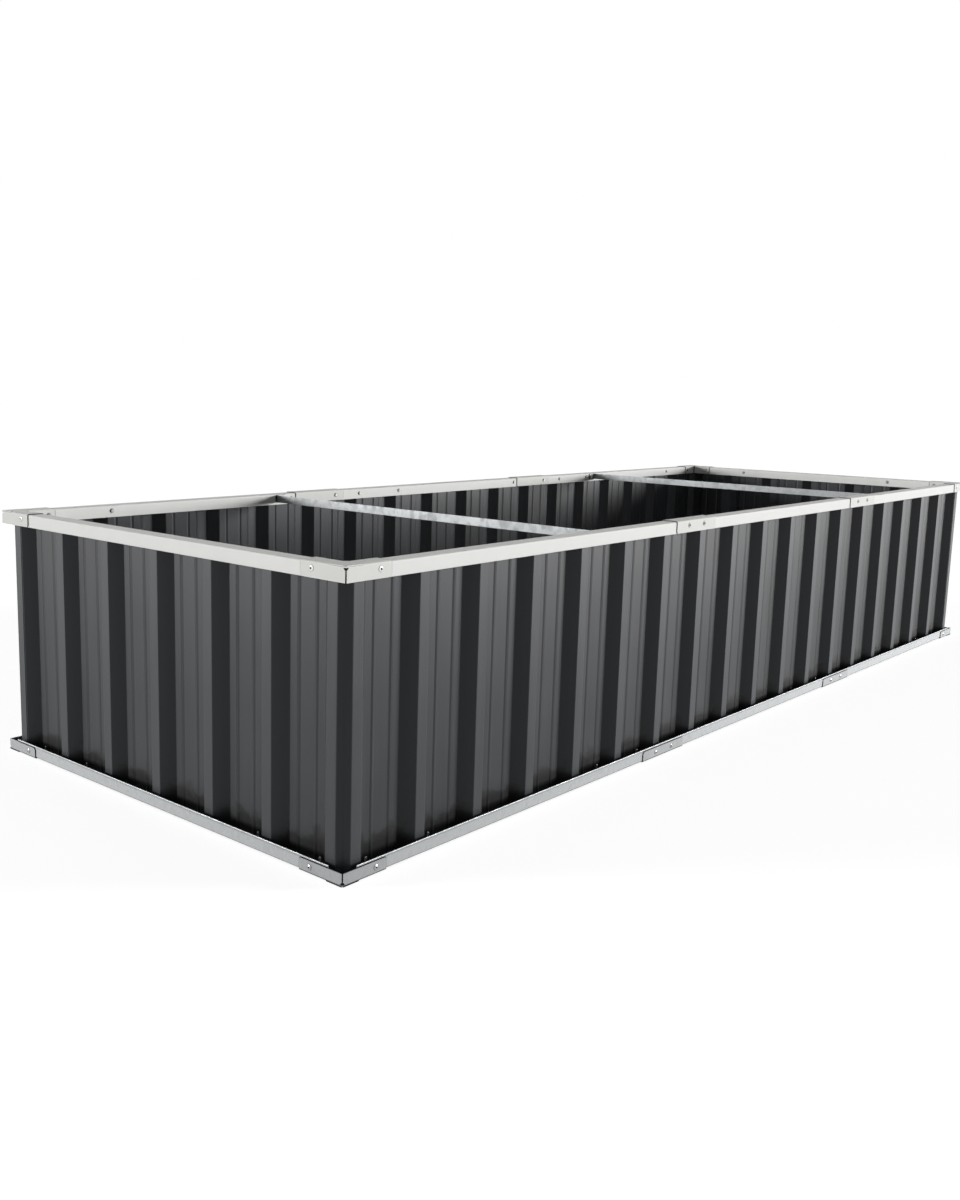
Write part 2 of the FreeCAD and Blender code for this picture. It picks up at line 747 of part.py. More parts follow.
def make_tie(name):
    """A folded bar across the bed. Its end tabs lie on the inner flanges of the top rails."""
    body = new_body(name)
    face = f"({BED_WIDTH} / 2 - joint_gauge - rail_width)"
    screw = f"({BED_LENGTH} / 2 - {TIE_VALLEY})"
    bar = f"({screw} + tie_offset)"
    tab_end = f"({bar} - tie_tab)"
    bend_x = f"({bar} - tie_gauge - tie_bend)"
    bend_y = f"({face} - tie_gauge - tie_bend)"
    sketch = new_sketch(body, "TieSketch", "XY_Plane", ("0", "0", f"{TIE_LEVEL} - tie_depth / 2"))
    bends = [(bend_x, f"-{bend_y}", "tie_bend", 1), (bend_x, bend_y, "tie_bend", 1)]
    draw_strip(sketch, "tie_gauge", (tab_end, 0), bends, (tab_end, 2))
    pad(body, sketch, "tie_depth", "Tie")
    drill_outer(body, [(screw, TIE_LEVEL)], "screw_size", BED_WIDTH, "ScrewHoles", f"-({face})")
    return body


# ---------------------------------------------------------------------------------------------
# Fasteners, each kind a group of separate solids
# ---------------------------------------------------------------------------------------------


def frame_rotation(wall, upright=False):
    turned = FreeCAD.Rotation(UP, WALLS[wall][3])
    return turned.multiply(FreeCAD.Rotation(FreeCAD.Vector(1, 0, 0), 90)) if upright else turned


def frame_offsets(wall, station, depth, level):
    """A point in a wall's frame, in the bed's frame."""
    corner_x, corner_y, (step_x, step_y), _ = WALLS[wall]
    x_place = f"{corner_x} * {BED_LENGTH} / 2 + {step_x} * {station} - {step_y} * ({depth})"
    y_place = f"{corner_y} * {BED_WIDTH} / 2 + {step_y} * {station} + {step_x} * ({depth})"
    return x_place, y_place, level


def make_group(name, places, draw):
    """A group of like fasteners. The other half of the bed repeats them half a turn round."""
    body = new_body(name)
    body.AllowCompound = True
    features = []
    for number, place in enumerate(places, start=1):
        features.append(draw(body, number, *place))
    pattern = new_pattern(body, "PartDesign::PolarPattern", "OtherHalf", features)
    pattern.Axis = (origin_part(body, "Z_Axis"), [""])
    pattern.Angle = 360
    pattern.Occurrences = 2
    body.Tip = pattern


def screw_profile(grip_side):
    """Half the section of a domed screw with a round recess, its neck at zero."""
    sphere = "((screw_head ^ 2 / 4 + screw_head_rise ^ 2) / (2 * screw_head_rise))"
    rim = f"(sqrt({sphere} ^ 2 - screw_recess ^ 2 / 4) - {sphere} + screw_head_rise)"
    shoulder = f"(sqrt({sphere} ^ 2 - screw_head ^ 2 / 9) - {sphere} + screw_head_rise)"
    return [
        ("0", f"{grip_side} * (screw_recess_depth - {rim})"),
        ("screw_recess / 2", f"-{grip_side} * {rim}"),
        ("screw_head / 3", f"-{grip_side} * {shoulder}"),
        ("screw_head / 2", f"-{grip_side} * {shoulder} / 3"),
        ("screw_head / 2", "0"),
        ("screw_size / 2", "0"),
        ("screw_size / 2", f"{grip_side} * screw_length"),
        ("0", f"{grip_side} * screw_length"),
    ]


def draw_screw(body, number, wall, station, depth, level, inwards=1):
    offsets = frame_offsets(wall, station, depth, level)
    sketch = new_sketch(body, f"Sketch{number}", "XY_Plane", offsets, frame_rotation(wall))
    draw_polygon(sketch, screw_profile(inwards))
    return revolve(body, sketch, f"Screw{number}")


def draw_nut(body, number, wall, station, depth, level, inwards=1):
    offsets = frame_offsets(wall, station, depth, level)
    rotation = frame_rotation(wall, upright=True)
    sketch = new_sketch(body, f"Sketch{number}", "XY_Plane", offsets, rotation)
    corners = []
    for place in range(6):
        angle = f"({60 * place}deg)"
        corners.append((f"nut_width / sqrt(3) * cos{angle}", f"nut_width / sqrt(3) * sin{angle}"))
    draw_polygon(sketch, corners, hole="screw_size + hole_clearance")
    return pad(body, sketch, "nut_height", f"Nut{number}", backwards=inwards > 0)


def draw_rivet(body, number, wall, station, level, grip):
    """A blind rivet: a low head on the panel, a shank through the stack and a swollen tail."""
    offsets = frame_offsets(wall, station, VALLEY_OUT, level)
    sketch = new_sketch(body, f"Sketch{number}", "XY_Plane", offsets, frame_rotation(wall))
    profile = [
        ("0", "-rivet_head_rise"),
        ("rivet_head / 4", "-rivet_head_rise"),
        ("rivet_head / 2", "-rivet_head_rise / 4"),
        ("rivet_head / 2", "0"),
        ("rivet_size / 2", "0"),
        ("rivet_size / 2", grip),
        ("rivet_tail / 2", grip),
        ("rivet_tail / 2", f"{grip} + rivet_tail_length * 2 / 3"),
        ("rivet_size / 2", f"{grip} + rivet_tail_length"),
        ("0", f"{grip} + rivet_tail_length"),
    ]
    draw_polygon(sketch, profile)
    return revolve(body, sketch, f"Rivet{number}")


def make_joint_fasteners():
    for top in (False, True):
        level = level_of("screw_level", top)
        height = "top" if top else "bottom"
        corner = []
        for wall in ("front", "right"):
            far = f"({wall_length(wall)} - bracket_screw_at)"
            corner += [(wall, station) for station in ("bracket_screw_at", far)]
        splice = []
        for seam in seams("front", top):
            for sign in ("-", "+"):
                splice.append(("front", f"({seam} {sign} splice_screw_gap / 2)"))
        screws = [[(wall, station, "0", level) for wall, station in kind] for kind in (corner, splice)]
        make_group(f"{height}_corner_screws", screws[0], draw_screw)
        make_group(f"{height}_splice_screws", screws[1], draw_screw)
        nuts = [(wall, station, RAIL_SEAT, level) for wall, station in corner + splice]
        make_group(f"{height}_joint_nuts", nuts, draw_nut)


def make_rivets():
    plain_grip = "(sheet_gauge + rail_gauge)"
    joint_grip = "(sheet_gauge + rail_gauge + joint_gauge)"
    for top in (False, True):
        level = level_of("rivet_level", top)
        height = "top" if top else "bottom"
        plain, joint = [], []
        for wall in ("front", "right"):
            for station in rivet_stations(wall):
                if in_joint(wall, top, station):
                    joint.append((wall, station, level, joint_grip))
                else:
                    plain.append((wall, station, level, plain_grip))
        make_group(f"{height}_panel_rivets", plain, draw_rivet)
        make_group(f"{height}_joint_rivets", joint, draw_rivet)


def make_tie_fasteners():
    head = "joint_gauge + rail_width + tie_gauge"
    stations = tie_stations("front")
    make_group("tie_screws", [("front", place, head, TIE_LEVEL, -1) for place in stations], draw_screw)
    make_group("tie_nuts", [("front", place, VALLEY_OUT, TIE_LEVEL, -1) for place in stations], draw_nut)


# ---------------------------------------------------------------------------------------------
# The whole bed
# ---------------------------------------------------------------------------------------------


def make_wall(wall, twin):
    """The panels, rails and splices of one wall, and the same pieces of the wall across the bed."""
    count = int(size("long_wall_panels")) if wall in LONG_WALLS else 1
    sides = [f"_{side}" for side in side_names(count)] if count > 1 else [""]
    pieces = []
    for place, side in enumerate(sides):
        kind = "panel" if wall in LONG_WALLS else "end_panel"
        panel = make_panel(f"{wall}_{kind}{side}", wall, place, count)
        pieces.append((panel, f"{twin}_{kind}{side}", f"{place} * {PANEL_RUN}"))
    for top in (False, True):
        height = "top" if top else "bottom"
        for side, (start, end) in zip(sides, rail_runs(wall, top)):
            rail = make_rail(f"{wall}_{height}_rail{side}", wall, top, start, end)
            pieces.append((rail, f"{twin}_{height}_rail{side}", "0"))
        for place, seam in enumerate(seams(wall, top), start=1):
            splice = make_splice(f"{wall}_{height}_splice_{place}", wall, top, seam)
            pieces.append((splice, f"{twin}_{height}_splice_{place}", "0"))
    for body, twin_name, along in pieces:
        place_in_wall(body, wall, along)
        place_in_wall(clone_body(twin_name, body), twin, along)


def make_corners():
    """A post, a bottom bracket and a top bracket at each corner. The top one is turned over."""
    turned_over = FreeCAD.Rotation(FreeCAD.Vector(1, 1, 0), 180)
    first = {}
    for wall, corner in CORNERS.items():
        for kind in ("post", "bottom_bracket", "top_bracket"):
            name = f"{corner}_{kind}"
            top = kind == "top_bracket"
            if kind in first:
                body = clone_body(name, first[kind])
            else:
                body = make_post(name) if kind == "post" else make_bracket(name, top)
                first[kind] = body
            if top:
                place_in_wall(body, wall, turn=turned_over, height="bed_height")
            else:
                place_in_wall(body, wall)


def make_ties():
    right_tie = make_tie("cross_tie_right")
    left_tie = clone_body("cross_tie_left", right_tie)
    left_tie.Placement = FreeCAD.Placement(FreeCAD.Vector(0, 0, 0), FreeCAD.Rotation(UP, 180))


def make_bed():
    make_wall("front", "back")
    make_wall("right", "left")
    make_corners()
    make_ties()
    make_joint_fasteners()
    make_rivets()
    make_tie_fasteners()


def check_and_write():
    doc.recompute()
    for thing in doc.Objects:
        if "Invalid" in thing.State or "Error" in thing.State:
            raise RuntimeError(f"{thing.Label} ({thing.Name}) did not build: {thing.State}")
    for body in subparts:
        if body.Shape.isNull() or not body.Shape.isValid() or not body.Shape.Solids:
            raise RuntimeError(f"{body.Label} has no valid solid")
    os.makedirs("parts", exist_ok=True)
    for body in subparts:
        body.Shape.exportStep(f"parts/{body.Label}.step")
        print(f"{body.Label}: {len(body.Shape.Solids)} solids, {body.Shape.Volume:.0f} mm3")


make_bed()
check_and_write()
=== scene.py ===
import math

import bmesh
import bpy
from mathutils import Matrix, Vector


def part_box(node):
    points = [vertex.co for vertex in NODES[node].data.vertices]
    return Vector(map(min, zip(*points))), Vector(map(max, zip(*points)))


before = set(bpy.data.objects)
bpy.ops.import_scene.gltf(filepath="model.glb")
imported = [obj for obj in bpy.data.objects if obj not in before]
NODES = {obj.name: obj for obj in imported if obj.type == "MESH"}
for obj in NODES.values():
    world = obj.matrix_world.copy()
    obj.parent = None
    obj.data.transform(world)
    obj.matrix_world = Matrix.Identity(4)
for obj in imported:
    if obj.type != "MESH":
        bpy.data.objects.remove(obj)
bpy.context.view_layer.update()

bl_info = {
    "name": "Raised Garden Bed",
    "version": (1, 0, 0),
    "blender": (4, 5, 0),
    "location": "View3D > Sidebar > Garden Bed",
    "description": "Finishes a corrugated steel garden bed and sets up a plain studio around it",
    "category": "Object",
}

# The bed stands on z = 0 with its middle at the origin. Its long walls run along x.
# The outer faces of the corner posts, which are the sheets' outermost faces.
HALF_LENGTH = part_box("front_right_post")[1].x
HALF_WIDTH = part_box("back_right_post")[1].y

# How deep a spot of the sheet lies behind the ribs' crests, in metres: no deeper than this on a
# crest, and at least this on the floor of a valley.
CREST_DEPTH = 0.002
VALLEY_DEPTH = 0.016

# Widths of the finishes' patterns, in metres.
SHEET_CLOUDS = 0.11
ROLLER_RUNS = 0.012
FOOT_SHADE_BUMPS = 0.032
POWDER_CLOUDS = 0.06
ZINC_BLOOM = 0.035
PLATING_SCUFFS = 0.0006

# Width of a roller's run as a share of its length.
RUN_SHAPE = 0.03
# Share of the runs in the sheet's tone, the rest being clouds, and of the bloom in the zinc's.
RUN_SHARE = 0.5
BLOOM_SHARE = 0.65

# Each finish runs between these two shares of its colour.
SHEET_TONES = (0.92, 1.08)
POWDER_TONES = (0.965, 1.02)
ZINC_TONES = (0.86, 1.1)
PLATING_TONES = (0.85, 1.1)

# What the two tones add to the finish's roughness.
SHEET_SHEEN = (-0.04, 0.04)
POWDER_SHEEN = (-0.03, 0.05)
ZINC_SHEEN = (0.1, -0.06)
PLATING_SHEEN = (-0.06, 0.08)

# The strength of each finish's relief, and its height in metres.
SHEET_RELIEF = {"Strength": 0.25, "Distance": 0.0002}
POWDER_RELIEF = {"Strength": 0.15, "Distance": 0.0002}
ZINC_RELIEF = {"Strength": 0.06, "Distance": 0.0002}
PLATING_RELIEF = {"Strength": 0.1, "Distance": 0.00005}

# The values of a pattern that become the first and the second tone.
NOISE_RANGE = {"From Min": 0.3, "From Max": 0.7}
ZINC_RANGE = {"From Min": 0.3, "From Max": 0.75}
FOOT_SHADE_RANGE = {"From Min": 0.25, "From Max": 0.75}

# Painted shade starts where a spot sees less than the first share of its surroundings, and is
# darkest where it sees only the second share or less. Shallow recesses are shaded sooner.
SHADE_START_SHARE = 0.97
GAP_SHARE = 0.74
COATED_RECESS_SHARE = 0.92
PLATED_RECESS_SHARE = 0.88
# How far a spot looks for its surroundings, in metres, and with how many rays.
GAP_REACH = 0.004
SHEET_GAP_REACH = 0.005
GAP_SAMPLES = 12
# How much of the colour the darkest painted shade covers.
GAP_COVER = 0.97
SHEET_GAP_COVER = 0.6
RECESS_COVER = 1.0

# The painted shade at the feet of the valleys reaches from the least to the most of its height,
# fades between two shares of that reach, and covers so much of the coat.
FOOT_SHADE_LEAST = 0.45
FOOT_SHADE_MOST = 1.45
FOOT_SHADE_FADE_START = 0.68
FOOT_SHADE_FADE_END = 1.02
FOOT_SHADE_COVER = 0.97

# Refractive index of polyester and of powder paint.
PAINT_IOR = 1.5

# Each lamp's name, its place in metres, its spread in degrees and the setting of its strength.
LAMPS = (
    ("Front lamp", (7.6, -6.2, 1.0), 16, "front_lamp"),
    ("Side lamp", (-7.3, 6.8, 1.0), 16, "side_lamp"),
    ("Back lamp", (3.0, 9.0, 1.0), 16, "back_lamp"),
    ("Top lamp", (-0.5, -0.5, 6.0), 80, "top_lamp"),
)

# The floor's half width, its depth under the bed's feet, its grey, and the glow that lifts that
# grey to white for the rays that show the background.
FLOOR_HALF = 30
FLOOR_DROP = 0.0003
FLOOR_GREY = 0.5
FLOOR_GLOW = 0.85

SENSOR_WIDTH = 36
FAR_CLIP = 200


# ---------------------------------------------------------------------------------------------
# Colours and nodes
# ---------------------------------------------------------------------------------------------


def linear(hex_colour, alpha=1.0):
    """An sRGB hex colour as the linear values that a shader takes."""
    channels = []
    for start in (1, 3, 5):
        value = int(hex_colour[start : start + 2], 16) / 255
        value = value / 12.92 if value <= 0.04045 else ((value + 0.055) / 1.055) ** 2.4
        channels.append(value)
    return (*channels, alpha)


def grey(level):
    """A grey of one linear level."""
    return (level, level, level, 1.0)


def colour_property(name, description, hex_colour):
    """A colour that a user can change."""
    return bpy.props.FloatVectorProperty(
        name=name,
        description=description,
        subtype="COLOR",
        size=4,
        min=0.0,
        max=1.0,
        default=linear(hex_colour),
    )


def length_property(name, description, metres):
    """A length that a user can change."""
    return bpy.props.FloatProperty(
        name=name,
        description=description,
        default=metres,
        min=0.0,
        precision=5,
        subtype="DISTANCE",
        unit="LENGTH",
    )


def factor_property(name, description, value):
    """A share from 0 to 1 that a user can change."""
    return bpy.props.FloatProperty(
        name=name, description=description, default=value, min=0.0, max=1.0, subtype="FACTOR"
    )


def strength_property(name, description, value):
    """A lamp's strength that a user can change."""
    return bpy.props.FloatProperty(name=name, description=description, default=value, min=0.0)


def add_node(tree, kind, settings=None, values=None, links=None):
    """Adds a node, sets its properties and socket values, and links other nodes' outputs to it."""
    node = tree.nodes.new(kind)
    for key, value in (settings or {}).items():
        setattr(node, key, value)
    for socket, value in (values or {}).items():
        node.inputs[socket].default_value = value
    for socket, output in (links or {}).items():
        tree.links.new(output, node.inputs[socket])
    return node


def new_material(name):
    """An empty material, its node tree and the object's own coordinates in it."""
    material = bpy.data.materials.new(name)
    material.use_nodes = True
    tree = material.node_tree
    tree.nodes.clear()
    coordinates = add_node(tree, "ShaderNodeTexCoord")
    return material, tree, coordinates.outputs["Object"]


def dress(names, material):
    """Gives CAD nodes a finish."""
    for name in names:
        mesh = NODES[name].data
        mesh.materials.clear()
        mesh.materials.append(material)


def named(*words):
    """The CAD nodes whose names hold one of the words."""
    return [name for name in sorted(NODES) if any(word in name for word in words)]


# ---------------------------------------------------------------------------------------------
# Sizes and colours that a user would change
# ---------------------------------------------------------------------------------------------


class SheetSettings(bpy.types.PropertyGroup):
    coat: colour_property("Coat", "Colour of the coat on the corrugated sheet", "#3a3c3f")
    # Painted shade: the colour that darkens the feet of the valleys and the sheet's narrow gaps.
    sheet_shade: colour_property("Sheet shade", "Colour of the painted shade at the feet of the valleys and in the sheet's gaps", "#141414")
    # Painted shade: the share of the coat's colour left in the valleys, darker than on the crests.
    valley_shade: factor_property(
        "Valley shade", "Share of the coat's colour left in the valleys by painted shade", 0.68
    )
    # Painted shade: how far up the valleys the dark foot reaches.
    shade_height: length_property("Shade height", "How far up the valleys the painted shade reaches", 0.052)
    grain: length_property("Grain", "Size of the coat's fine grain", 0.0012)
    roughness: factor_property("Roughness", "Roughness of the coat", 0.4)
    gloss: factor_property("Gloss", "Specular level of the coat", 0.24)


class TopRailSettings(bpy.types.PropertyGroup):
    rail: colour_property("Rail", "Colour of the top rails", "#e6e6e3")
    joint: colour_property("Joint", "Colour of the top brackets and splices", "#dcdcd8")
    peel: length_property("Orange peel", "Size of the ripple in the powder coat", 0.0025)
    roughness: factor_property("Roughness", "Roughness of the powder coat", 0.48)
    gloss: factor_property("Gloss", "Specular level of the powder coat", 0.25)
    # Painted shade: the colour that darkens the narrow gaps between the pieces.
    gap_shade: colour_property("Gap shade", "Colour of the painted shade in the gaps", "#1c1d1c")


class BottomRailSettings(bpy.types.PropertyGroup):
    rail: colour_property("Rail", "Colour of the bottom rails", "#999b9c")
    joint: colour_property("Joint", "Colour of the bottom brackets and splices", "#8e9091")
    tie: colour_property("Tie", "Colour of the cross ties", "#7d7f80")
    spangle: length_property("Spangle", "Width of the zinc crystals", 0.009)
    roughness: factor_property("Roughness", "Roughness of the zinc", 0.42)
    metal: factor_property("Metal", "How metallic the zinc looks", 0.75)
    # Painted shade: the colour that darkens the narrow gaps between the pieces.
    gap_shade: colour_property("Gap shade", "Colour of the painted shade in the gaps", "#161717")


class FastenerSettings(bpy.types.PropertyGroup):
    zinc: colour_property("Zinc", "Colour of the zinc-plated screws and nuts", "#a9abad")
    bright: colour_property("Bright zinc", "Colour of the screws in the top corners", "#eff0f0")
    rivet: colour_property("Rivet", "Colour of the rivets", "#8f9193")
    roughness: factor_property("Roughness", "Roughness of the plating", 0.36)
    metal: factor_property("Metal", "How metallic the plating looks", 0.9)
    # Painted shade: the colour that darkens the screws' recesses.
    gap_shade: colour_property("Gap shade", "Colour of the painted shade in the recesses", "#0e0e0f")


class StageSettings(bpy.types.PropertyGroup):
    camera_place: bpy.props.FloatVectorProperty(
        name="Camera place",
        description="Where the camera stands",
        subtype="TRANSLATION",
        unit="LENGTH",
        size=3,
        default=(-2.3778, -1.5552, 0.6910),
    )
    heading: bpy.props.FloatProperty(
        name="Heading",
        description="The camera's direction over the ground, from +x towards +y",
        subtype="ANGLE",
        default=math.radians(41.81),
    )
    dip: bpy.props.FloatProperty(
        name="Dip",
        description="How far the camera looks down",
        subtype="ANGLE",
        default=math.radians(9.28),
    )
    roll: bpy.props.FloatProperty(
        name="Roll",
        description="How far the camera leans",
        subtype="ANGLE",
        default=math.radians(1.23),
    )
    lens: bpy.props.FloatProperty(
        name="Lens", description="Focal length in millimetres", default=35.12, min=1.0
    )
    shift: bpy.props.FloatVectorProperty(
        name="Shift", description="Lens shift", size=2, default=(0.0544, -0.0151)
    )
    ambient: factor_property("Ambient", "Light from all round", 0.09)
    front_lamp: strength_property("Front lamp", "Strength of the lamp off the front wall", 3.75)
    side_lamp: strength_property("Side lamp", "Strength of the lamp off the left wall", 3.0)
    back_lamp: strength_property("Back lamp", "Strength of the lamp off the back wall", 0.7)
    top_lamp: strength_property("Top lamp", "Strength of the lamp above", 0.12)


# ---------------------------------------------------------------------------------------------
# Finishes
# ---------------------------------------------------------------------------------------------


def scaled(colour, share):
    """A colour made lighter or darker."""
    return (*(min(1.0, channel * share) for channel in colour[:3]), 1.0)


def around(roughness, changes):
    """The range of a roughness that changes with the finish's tone."""
    return {"To Min": roughness + changes[0], "To Max": roughness + changes[1]}


def finish_material(tree, values, links):
    """Closes a material with one Principled shader."""
    shader = add_node(tree, "ShaderNodeBsdfPrincipled", values=values, links=links)
    add_node(tree, "ShaderNodeOutputMaterial", links={"Surface": shader.outputs["BSDF"]})


def add_gap_shade(tree, unshaded, gap_shade, reach, most, full=GAP_SHARE):
    """Paints shade into a colour where little of the surroundings is open: in narrow gaps, in
    recesses and along the foot of a raised edge.
    """
    open_share = add_node(
        tree, "ShaderNodeAmbientOcclusion", {"samples": GAP_SAMPLES}, {"Distance": reach}
    )
    amount = add_node(
        tree,
        "ShaderNodeMapRange",
        {"interpolation_type": "SMOOTHSTEP"},
        {"From Min": SHADE_START_SHARE, "From Max": full, "To Min": 0.0, "To Max": most},
        {"Value": open_share.outputs["AO"]},
    )
    mixed = add_node(
        tree, "ShaderNodeMix", {"data_type": "RGBA"}, {7: gap_shade}, {0: amount.outputs[0], 6: unshaded}
    )
    return mixed.outputs[2]


def coated_sheet(settings):
    """Polyester-coated steel sheet, roll-formed: charcoal grey, half gloss, with a fine grain."""
    # The coat is thin, dark and even. The eye sees it turn paler where it mirrors the room at a
    # slant, and faint runs along the ribs where the rollers pressed. Painted shade darkens the
    # valleys against the crests, the feet of the valleys and the sheet's narrow gaps.
    material, tree, place = new_material("Polyester coated steel sheet")
    coat = tuple(settings.coat)
    grain = add_node(
        tree,
        "ShaderNodeTexNoise",
        values={"Scale": 1 / settings.grain, "Detail": 2.0},
        links={"Vector": place},
    )
    clouds = add_node(
        tree,
        "ShaderNodeTexNoise",
        values={"Scale": 1 / SHEET_CLOUDS, "Detail": 3.0},
        links={"Vector": place},
    )
    long_place = add_node(
        tree, "ShaderNodeMapping", values={"Scale": (1, 1, RUN_SHAPE)}, links={"Vector": place}
    )
    runs = add_node(
        tree,
        "ShaderNodeTexNoise",
        values={"Scale": 1 / ROLLER_RUNS, "Detail": 2.0},
        links={"Vector": long_place.outputs["Vector"]},
    )
    tone = add_node(
        tree,
        "ShaderNodeMix",
        {"data_type": "FLOAT"},
        {0: RUN_SHARE},
        {2: clouds.outputs["Fac"], 3: runs.outputs["Fac"]},
    )
    spread = add_node(
        tree,
        "ShaderNodeMapRange",
        values=NOISE_RANGE,
        links={"Value": tone.outputs[0]},
    )
    colour = add_node(
        tree,
        "ShaderNodeMix",
        {"data_type": "RGBA"},
        {6: scaled(coat, SHEET_TONES[0]), 7: scaled(coat, SHEET_TONES[1])},
        {0: spread.outputs[0]},
    )
    in_valley = valley_share(tree, place)
    # Painted shade: the valleys are darkened against the crests.
    valley_shaded = add_node(
        tree,
        "ShaderNodeMix",
        {"data_type": "RGBA", "blend_type": "MULTIPLY"},
        {7: grey(settings.valley_shade)},
        {0: in_valley, 6: colour.outputs[2]},
    )
    # Painted shade: the feet of the valleys are darkened towards the ground.
    sheet_shade = painted_foot_shade(tree, place, in_valley, settings.shade_height)
    foot_shaded = add_node(
        tree,
        "ShaderNodeMix",
        {"data_type": "RGBA"},
        {7: tuple(settings.sheet_shade)},
        {0: sheet_shade, 6: valley_shaded.outputs[2]},
    )
    sheen = add_node(
        tree,
        "ShaderNodeMapRange",
        values=around(settings.roughness, SHEET_SHEEN),
        links={"Value": spread.outputs[0]},
    )
    relief = add_node(
        tree,
        "ShaderNodeBump",
        values=SHEET_RELIEF,
        links={"Height": grain.outputs["Fac"]},
    )
    finish_material(
        tree,
        {"IOR": PAINT_IOR, "Specular IOR Level": settings.gloss},
        {
            # Painted shade in the sheet's narrow gaps and bends.
            "Base Color": add_gap_shade(
                tree, foot_shaded.outputs[2], tuple(settings.sheet_shade), SHEET_GAP_REACH, SHEET_GAP_COVER
            ),
            "Roughness": sheen.outputs[0],
            "Normal": relief.outputs["Normal"],
        },
    )
    return material


def valley_share(tree, place):
    """How deep a spot lies between the ribs: 0 on the crests, 1 on the floor of a valley."""
    apart = add_node(tree, "ShaderNodeSeparateXYZ", links={"Vector": place})
    depths = []
    for axis, half in (("X", HALF_LENGTH), ("Y", HALF_WIDTH)):
        out = add_node(
            tree, "ShaderNodeMath", {"operation": "ABSOLUTE"}, links={0: apart.outputs[axis]}
        )
        depth = add_node(
            tree, "ShaderNodeMath", {"operation": "SUBTRACT"}, {0: half}, {1: out.outputs[0]}
        )
        depths.append(depth.outputs[0])
    depth = add_node(
        tree, "ShaderNodeMath", {"operation": "MINIMUM"}, links={0: depths[0], 1: depths[1]}
    )
    in_valley = add_node(
        tree,
        "ShaderNodeMapRange",
        {"interpolation_type": "SMOOTHSTEP"},
        {"From Min": CREST_DEPTH, "From Max": VALLEY_DEPTH},
        {"Value": depth.outputs[0]},
    )
    return in_valley.outputs[0]


def painted_foot_shade(tree, place, in_valley, height):
    """How much painted shade lies on a spot: it darkens the feet of the valleys, not the crests.
    """
    apart = add_node(tree, "ShaderNodeSeparateXYZ", links={"Vector": place})
    foot_noise = add_node(
        tree,
        "ShaderNodeTexNoise",
        values={"Scale": 1 / FOOT_SHADE_BUMPS, "Detail": 4.0},
        links={"Vector": place},
    )
    reach = add_node(
        tree,
        "ShaderNodeMapRange",
        values={
            **FOOT_SHADE_RANGE,
            "To Min": FOOT_SHADE_LEAST * height,
            "To Max": FOOT_SHADE_MOST * height,
        },
        links={"Value": foot_noise.outputs["Fac"]},
    )
    share = add_node(
        tree,
        "ShaderNodeMath",
        {"operation": "DIVIDE"},
        links={0: apart.outputs["Z"], 1: reach.outputs[0]},
    )
    low = add_node(
        tree,
        "ShaderNodeMapRange",
        {"interpolation_type": "SMOOTHSTEP"},
        {
            "From Min": FOOT_SHADE_FADE_START,
            "From Max": FOOT_SHADE_FADE_END,
            "To Min": FOOT_SHADE_COVER,
            "To Max": 0.0,
        },
        {"Value": share.outputs[0]},
    )
    sheet_shade = add_node(
        tree,
        "ShaderNodeMath",
        {"operation": "MULTIPLY"},
        links={0: in_valley, 1: low.outputs[0]},
    )
    return sheet_shade.outputs[0]


def powder_coat(name, colour, settings, full=GAP_SHARE):
    """Powder-coated steel: off-white, satin, with the low ripple that baking leaves."""
    # The coat flows as it is baked. The eye sees an even pale colour and soft wavy highlights.
    # Painted shade darkens the narrow gaps between the pieces.
    material, tree, place = new_material(name)
    ripple = add_node(
        tree,
        "ShaderNodeTexNoise",
        values={"Scale": 1 / settings.peel, "Detail": 2.0},
        links={"Vector": place},
    )
    clouds = add_node(
        tree,
        "ShaderNodeTexNoise",
        values={"Scale": 1 / POWDER_CLOUDS, "Detail": 3.0},
        links={"Vector": place},
    )
    spread = add_node(
        tree,
        "ShaderNodeMapRange",
        values=NOISE_RANGE,
        links={"Value": clouds.outputs["Fac"]},
    )
    tone = add_node(
        tree,
        "ShaderNodeMix",
        {"data_type": "RGBA"},
        {6: scaled(colour, POWDER_TONES[0]), 7: scaled(colour, POWDER_TONES[1])},
        {0: spread.outputs[0]},
    )
    sheen = add_node(
        tree,
        "ShaderNodeMapRange",
        values=around(settings.roughness, POWDER_SHEEN),
        links={"Value": spread.outputs[0]},
    )
    relief = add_node(
        tree,
        "ShaderNodeBump",
        values=POWDER_RELIEF,
        links={"Height": ripple.outputs["Fac"]},
    )
    finish_material(
        tree,
        {"IOR": PAINT_IOR, "Specular IOR Level": settings.gloss},
        {
            "Base Color": add_gap_shade(
                tree, tone.outputs[2], tuple(settings.gap_shade), GAP_REACH, GAP_COVER, full
            ),
            "Roughness": sheen.outputs[0],
            "Normal": relief.outputs["Normal"],
        },
    )
    return material


